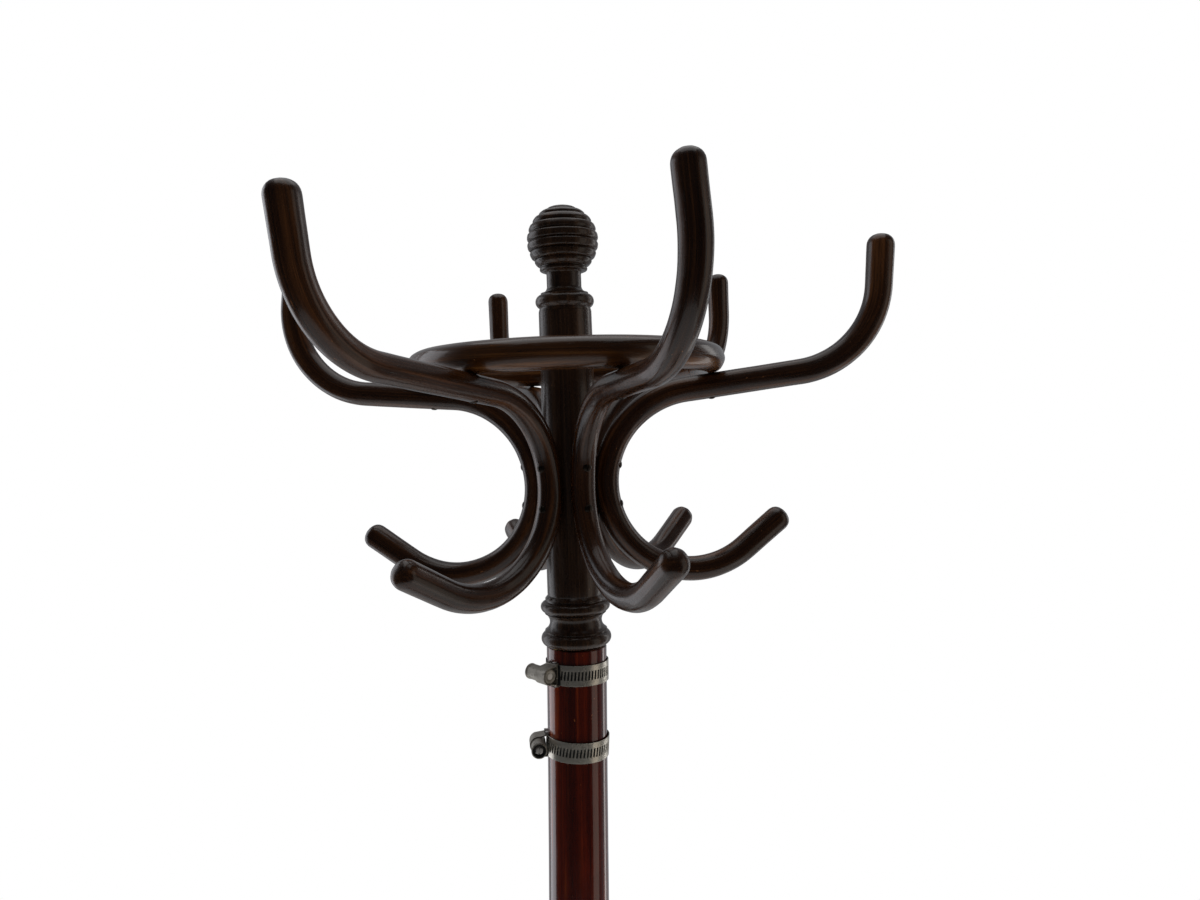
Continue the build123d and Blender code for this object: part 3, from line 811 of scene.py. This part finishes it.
def mouth_points(screw_side):
    """A dark ring of painted shade and grime inside the mouth and on its edge, open at both ends."""
    half = BARREL_LENGTH / 2
    profile = [
        (MOUTH_R - 0.9, half - 0.9), (MOUTH_R - 0.7, half - 0.2), (MOUTH_R + 0.1, half + 0.04),
        (MOUTH_R + 0.7, half + 0.04), (MOUTH_R + 0.75, half - 0.2), (MOUTH_R, half - 0.9),
    ]
    rings = lathe(profile, seed=63, around=BARREL_AROUND)[0]
    points, faces = skin(about_barrel(rings, screw_side))
    return points[:-2], faces[:(len(profile) - 1) * BARREL_AROUND]


def saddle_outline(edge):
    """The saddle strap across the clamp: over the barrel, and down on the band on either side."""
    out = SEAT_Y - SADDLE_THICK
    turns = np.radians(np.linspace(-65, 65, 15))
    outer_r = BARREL_R + 1.05
    inner_r = BARREL_R + 0.1
    arch_out = [(-BARREL_AXIS_R - outer_r * cos(t), outer_r * sin(t)) for t in turns]
    arch_in = [(-BARREL_AXIS_R - inner_r * cos(t), inner_r * sin(t)) for t in turns]
    return (
        [(SEAT_Y, -edge), (out, -edge), (out, -edge + 1.6)] + arch_out
        + [(out, edge - 1.6), (out, edge), (SEAT_Y, edge), (SEAT_Y, edge - 2.2)]
        + arch_in[::-1] + [(SEAT_Y, -edge + 2.2)]
    )


def clamp_housing(name, place, screw_side):
    """Barrel with a lipped mouth, in a saddle strap with flanges, whose bright tabs show in recesses of
    painted shade.
    """
    def housing_piece(kind, shape, material, sharp):
        points = placed(shape[0], place)
        return make_piece(
            f"clamp_{kind}_{name}", points, shape[1], "stand", material, sharp=sharp,
        )

    edge = SADDLE_WIDTH / 2
    half_saddle = SADDLE_LENGTH / 2
    saddle = [prism(saddle_outline(edge), -half_saddle, half_saddle)]
    tabs, recesses = [], []
    for side in (1, -1):
        inner, outer = sorted((side * (edge - 0.95), side * edge))
        saddle.append(box(-half_saddle, half_saddle, SEAT_Y - SADDLE_THICK, -BAND_BORE_R + 3.2, inner, outer))
        for x in (-TAB_X, TAB_X):
            low, high = sorted((side * (edge - 0.2), side * (edge + 0.12)))
            recesses.append(box(x - 2.3, x + 2.3, SEAT_Y - 1.5, SEAT_Y + 2.6, low, high))
            low, high = sorted((side * (edge - 0.2), side * (edge + 0.65)))
            tabs.append(box(x - 1.5, x + 1.5, SEAT_Y - 0.7, SEAT_Y + 1.9, low, high))

    shell = housing_piece("saddle", join(*saddle), HOUSING_ZINC, sharp=30)
    bevel(shell, 0.25)
    housing_piece("barrel", barrel_points(screw_side), HOUSING_ZINC, sharp=35)
    bevel(housing_piece("tabs", join(*tabs), CLAMP_SCREW_STEEL, sharp=30), 0.1)
    # The recesses are near black: painted shade round the tabs.
    bevel(housing_piece("recess", join(*recesses), SHADE_AND_GRIME, sharp=30), 0.1)
    # The mouth ring is near black: painted shade and grime in and round the mouth.
    housing_piece("mouth", mouth_points(screw_side), SHADE_AND_GRIME, sharp=35)
    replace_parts(shell, f"clamp_housing_{name}")


def clamp_worm(name, place, screw_side):
    """Worm screw: a slotted hexagon head with a washer face, on a plain shank."""
    half = (BARREL_LENGTH - 1) / 2
    head_z = half - MOUTH_DEPTH + 0.8
    around = 96
    rings = []
    # level, radius, whether the section is a hexagon
    for z, radius, hexagon in (
        (-half, 2.4, False), (-half + 0.6, 3.2, False), (head_z - 0.6, 3.2, False),
        (head_z - 0.6, 3.52, False), (head_z + 0.3, 3.52, False), (head_z + 0.3, 3.05, False),
        (head_z + 0.31, 3.0, True), (half - 0.5, 3.0, True), (half - 0.1, 2.5, False), (half, 1.9, False),
    ):
        ring = []
        for j in range(around):
            a = 2 * pi * j / around
            r = radius
            if hexagon:
                r = min(3.5, radius / cos((a % (pi / 3)) - pi / 6))
            x, y = r * cos(a), r * sin(a)
            in_slot = abs(y) < 0.55 and z > half - 1.0
            ring.append((x, y, z - (1.3 if in_slot else 0.0)))
        rings.append(ring)
    points, faces = skin(about_barrel(np.array(rings), screw_side))
    piece = make_piece(
        f"clamp_worm_{name}", placed(points, place), faces, f"screw_{name}",
        CLAMP_SCREW_STEEL, sharp=30,
    )
    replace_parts(piece, f"clamp_screw_{name}")


for name, (level, azimuth, tilt, low_azimuth, screw_side) in CLAMPS.items():
    place = clamp_matrix(level, azimuth, tilt, low_azimuth)
    clamp_band(name, place)
    clamp_housing(name, place, screw_side)
    clamp_worm(name, place, screw_side)

# ---- CAD nodes that are shown as they are ----
for node, material, slot in (
    ("arm_screws", DARK_SCREW_STEEL, "screw_steel"),
    ("ring_screws", DARK_SCREW_STEEL, "screw_steel"),
    ("leg_screws", DARK_SCREW_STEEL, "screw_steel"),
    ("hoop_screws", DARK_SCREW_STEEL, "screw_steel"),
    ("glides", GLIDE_STEEL, "glide_steel"),
    ("swivel_pin", PIN_STEEL, "pin_steel"),
    ("swivel_bush", BRASS, "brass"),
    ("swivel_washer", BRASS, "brass"),
):
    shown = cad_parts[node]
    shown.data.materials.clear()
    shown.data.materials.append(material)


# ---- floor, light and camera ----
def pale_floor():
    """A faint glow of its own keeps the floor pale under lights that suit the dark wood."""
    s = Shader("pale_floor")
    place = s.add("ShaderNodeTexCoord").outputs["Object"]
    mottle = s.noise(place, scale=3, detail=4)
    colour = s.ramp(mottle, (0.3, (0.86, 0.86, 0.855)), (0.7, (0.92, 0.92, 0.915)))
    s.shade(Base_Color=colour, Roughness=0.7, Emission_Color=colour, Emission_Strength=0.34)
    return s.material


floor_r = 2.1
floor_mesh = bpy.data.meshes.new("floor")
floor_edge = [(floor_r * cos(2 * pi * i / 128), floor_r * sin(2 * pi * i / 128), 0) for i in range(128)]
floor_mesh.from_pydata(floor_edge, [], [tuple(range(128))])
floor_mesh.materials.append(pale_floor())
floor = bpy.data.objects.new("floor", floor_mesh)
bpy.context.scene.collection.objects.link(floor)

bpy.context.scene.view_settings.view_transform = "Standard"


def studio_world():
    """Plain white to the camera. To all else it is dim, and brighter behind the stand than before it."""
    world = bpy.data.worlds.new("studio")
    world.use_nodes = True
    nodes, links = world.node_tree.nodes, world.node_tree.links
    nodes.clear()
    to_camera = nodes.new("ShaderNodeBackground")
    to_camera.inputs["Color"].default_value = (1, 1, 1, 1)
    to_camera.inputs["Strength"].default_value = 1.0
    to_scene = nodes.new("ShaderNodeBackground")
    to_scene.inputs["Color"].default_value = (0.92, 0.95, 1.0, 1)
    direction = nodes.new("ShaderNodeTexCoord")
    axes = nodes.new("ShaderNodeSeparateXYZ")
    brightness = nodes.new("ShaderNodeMapRange")
    for key, value in (("From Min", -0.1), ("From Max", 0.7), ("To Min", 0.03), ("To Max", 0.32)):
        brightness.inputs[key].default_value = value
    links.new(direction.outputs["Generated"], axes.inputs[0])
    links.new(axes.outputs["Y"], brightness.inputs["Value"])
    links.new(brightness.outputs[0], to_scene.inputs["Strength"])
    rays = nodes.new("ShaderNodeLightPath")
    either = nodes.new("ShaderNodeMixShader")
    out = nodes.new("ShaderNodeOutputWorld")
    links.new(rays.outputs["Is Camera Ray"], either.inputs[0])
    links.new(to_scene.outputs[0], either.inputs[1])
    links.new(to_camera.outputs[0], either.inputs[2])
    links.new(either.outputs[0], out.inputs["Surface"])
    bpy.context.scene.world = world


studio_world()


def soft_light(name, place, target, size, power, colour=(1, 1, 1)):
    data = bpy.data.lights.new(name, "AREA")
    data.shape = "RECTANGLE"
    data.size, data.size_y = size
    data.energy = power
    data.color = colour
    lamp = bpy.data.objects.new(name, data)
    lamp.location = place
    lamp.rotation_euler = (Vector(target) - Vector(place)).to_track_quat("-Z", "Y").to_euler()
    lamp.visible_camera = False
    bpy.context.scene.collection.objects.link(lamp)


soft_light("window_left", (-1.5, 0.7, 1.4), (0, 0, 1.4), (1.1, 2.6), 10, (0.92, 0.94, 1.0))
soft_light("window_right", (1.7, 1.1, 1.4), (0, 0, 1.4), (0.4, 2.6), 4, (1.0, 0.98, 0.95))
soft_light("overhead", (0.0, 0.2, 3.6), (0, 0, 1.5), (2.2, 2.2), 14)
soft_light("doorway", (1.4, -0.5, 1.35), (0, 0, 1.35), (0.7, 2.6), 2.8, (1.0, 0.90, 0.78))

# The camera stands close, level with the hooks, and looks a little down.
FOCAL_MM = 25.8
CAMERA_AT = (0.0, -0.71529, 1.66846)
PITCH, YAW, ROLL = -0.0287, 0.0292, -0.0085
forward = Vector((cos(PITCH) * sin(YAW), cos(PITCH) * cos(YAW), sin(PITCH)))
level_right = Vector((cos(YAW), -sin(YAW), 0))
level_up = Vector((-sin(PITCH) * sin(YAW), -sin(PITCH) * cos(YAW), cos(PITCH)))
right = cos(ROLL) * level_right + sin(ROLL) * level_up
up = -sin(ROLL) * level_right + cos(ROLL) * level_up
camera_data = bpy.data.cameras.new("camera")
camera_data.lens = FOCAL_MM
camera_data.sensor_width = 36.0
camera_data.sensor_fit = "HORIZONTAL"
camera_data.clip_start = 0.02
camera = bpy.data.objects.new("camera", camera_data)
camera.matrix_world = Matrix((
    (right.x, up.x, -forward.x, CAMERA_AT[0]),
    (right.y, up.y, -forward.y, CAMERA_AT[1]),
    (right.z, up.z, -forward.z, CAMERA_AT[2]),
    (0, 0, 0, 1),
))
bpy.context.scene.collection.objects.link(camera)
bpy.context.scene.camera = camera
